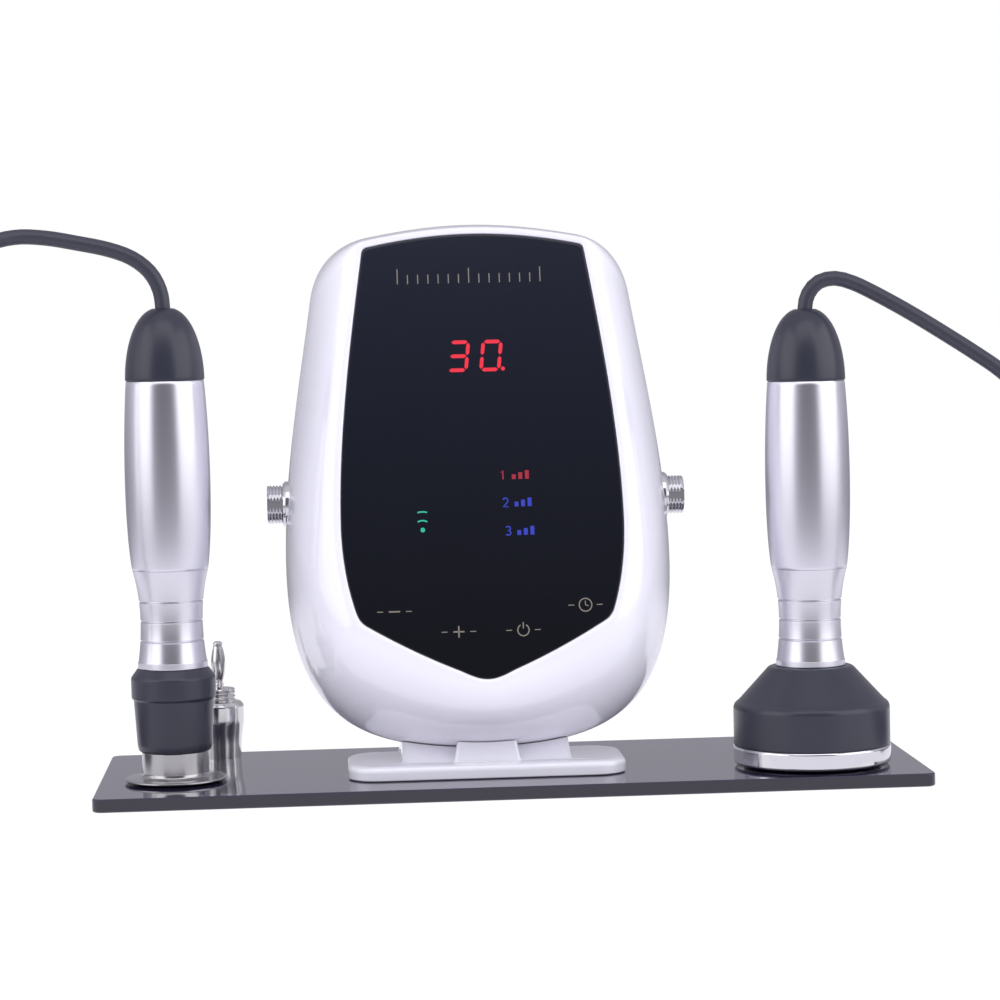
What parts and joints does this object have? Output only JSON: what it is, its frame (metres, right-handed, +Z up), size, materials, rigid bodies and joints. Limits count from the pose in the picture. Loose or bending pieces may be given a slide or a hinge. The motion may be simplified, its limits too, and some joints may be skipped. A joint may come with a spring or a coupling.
{
  "type": "facial toning device",
  "caption": "Facial toning console on a glossy base plate, with lift-off treatment handpieces on leads and a spare screw-on probe.",
  "frame": {"origin": "middle of the base plate's underside, on the surface it stands on", "axes": "+X to the right along the plate, +Y to the back, +Z up; the control panel faces -Y"},
  "size_m": [0.4706, 0.0942, 0.1729],
  "materials": {
    "black_acrylic": "polished black acrylic sheet with a bright cut edge",
    "white_shell": "glossy lavender-white moulded ABS",
    "smoked_panel": "smoked glossy touch panel",
    "dark_plastic": "satin slate-grey moulded plastic",
    "barrel_silver": "satin silver anodised barrel",
    "waist_metal": "satin turned metal",
    "steel": "polished stainless steel",
    "chrome_trim": "bright chrome plating",
    "nickel": "nickel plating",
    "contact_gold": "gold-flashed brass contact",
    "cord_sheath": "soft slate-grey PVC sheath",
    "board_green": "solder-masked glass-fibre board",
    "black_parts": "black moulded component cases",
    "insulator": "pale moulded insulator",
    "screw_steel": "zinc-plated screws",
    "lit_red": "lit red segment",
    "lamp_lens": "clear lamp lens",
    "copper_coil": "enamelled copper winding",
    "aluminium_fins": "bare extruded aluminium",
    "gasket_foam": "black foam adhesive"
  },
  "bodies": {
    "root": {"base_plate": "black_acrylic", "foot": "white_shell", "foot_screws": "screw_steel", "front_shell": "white_shell", "rear_shell": "white_shell", "case_screws": "screw_steel", "touch_panel": "smoked_panel", "panel_gasket": "gasket_foam", "display_board": "board_green", "display_screws": "screw_steel", "digit_display": "black_parts", "lit_segments": "lit_red", "indicator_lamps": "lamp_lens", "key_springs": "screw_steel", "main_board": "board_green", "board_screws": "screw_steel", "rf_transformer": "copper_coil", "heat_sink": "aluminium_fins", "power_transistors": "black_parts", "filter_capacitors": "black_parts", "buzzer": "black_parts", "switch_frame": "black_parts", "dc_inlet": "black_parts", "socket_shells": "nickel", "socket_nuts": "nickel", "socket_inserts": "insulator", "left_coil": "cord_sheath", "left_plug_body": "dark_plastic", "left_plug_insert": "insulator", "right_coil": "cord_sheath", "right_plug_body": "dark_plastic", "right_plug_insert": "insulator"},
    "left_handpiece": {"left_cap": "dark_plastic", "left_barrel": "barrel_silver", "left_waist": "waist_metal", "left_core": "black_parts", "left_jack": "contact_gold", "left_cord_clamp": "black_parts", "left_cord": "cord_sheath"},
    "right_handpiece": {"right_cap": "dark_plastic", "right_barrel": "barrel_silver", "right_waist": "waist_metal", "right_core": "black_parts", "right_jack": "contact_gold", "right_cord_clamp": "black_parts", "right_cord": "cord_sheath"},
    "small_head": {"small_grip": "dark_plastic", "small_electrode": "steel", "small_pin": "contact_gold"},
    "large_head": {"large_bell": "dark_plastic", "large_rim": "chrome_trim", "large_face": "steel", "large_contact": "contact_gold", "large_pin": "contact_gold"},
    "spare_probe": {"probe_body": "steel", "probe_pin": "contact_gold"},
    "left_nut": {"left_plug_nut": "chrome_trim"},
    "right_nut": {"right_plug_nut": "chrome_trim"},
    "rocker": {"power_rocker": "black_parts"}
  },
  "joints": [
    {"name": "left_lift", "type": "slide", "parent": "root", "child": "left_handpiece", "axis": [0, 0, 1], "range_m": [0, 0.15]},
    {"name": "right_lift", "type": "slide", "parent": "root", "child": "right_handpiece", "axis": [0, 0, 1], "range_m": [0, 0.15]},
    {"name": "small_head_turn", "type": "hinge", "parent": "left_handpiece", "child": "small_head", "pos_m": [-0.1025, -0.014, 0.039], "axis": [0, 0, 1], "continuous": true},
    {"name": "large_head_turn", "type": "hinge", "parent": "right_handpiece", "child": "large_head", "pos_m": [0.093, -0.0185, 0.0345], "axis": [0, 0, 1], "continuous": true},
    {"name": "spare_lift", "type": "slide", "parent": "root", "child": "spare_probe", "axis": [0, 0, 1], "range_m": [0, 0.08]},
    {"name": "left_nut_turn", "type": "hinge", "parent": "root", "child": "left_nut", "pos_m": [-0.2279, -0.0036, 0.0074], "axis": [0, -1, 0], "continuous": true},
    {"name": "right_nut_turn", "type": "hinge", "parent": "root", "child": "right_nut", "pos_m": [0.2279, -0.0036, 0.0074], "axis": [0, -1, 0], "continuous": true},
    {"name": "rocker_tilt", "type": "hinge", "parent": "root", "child": "rocker", "pos_m": [0.0065, 0.01931, 0.04365], "axis": [1, 0, 0], "range_deg": [0, 16]}
  ]
}
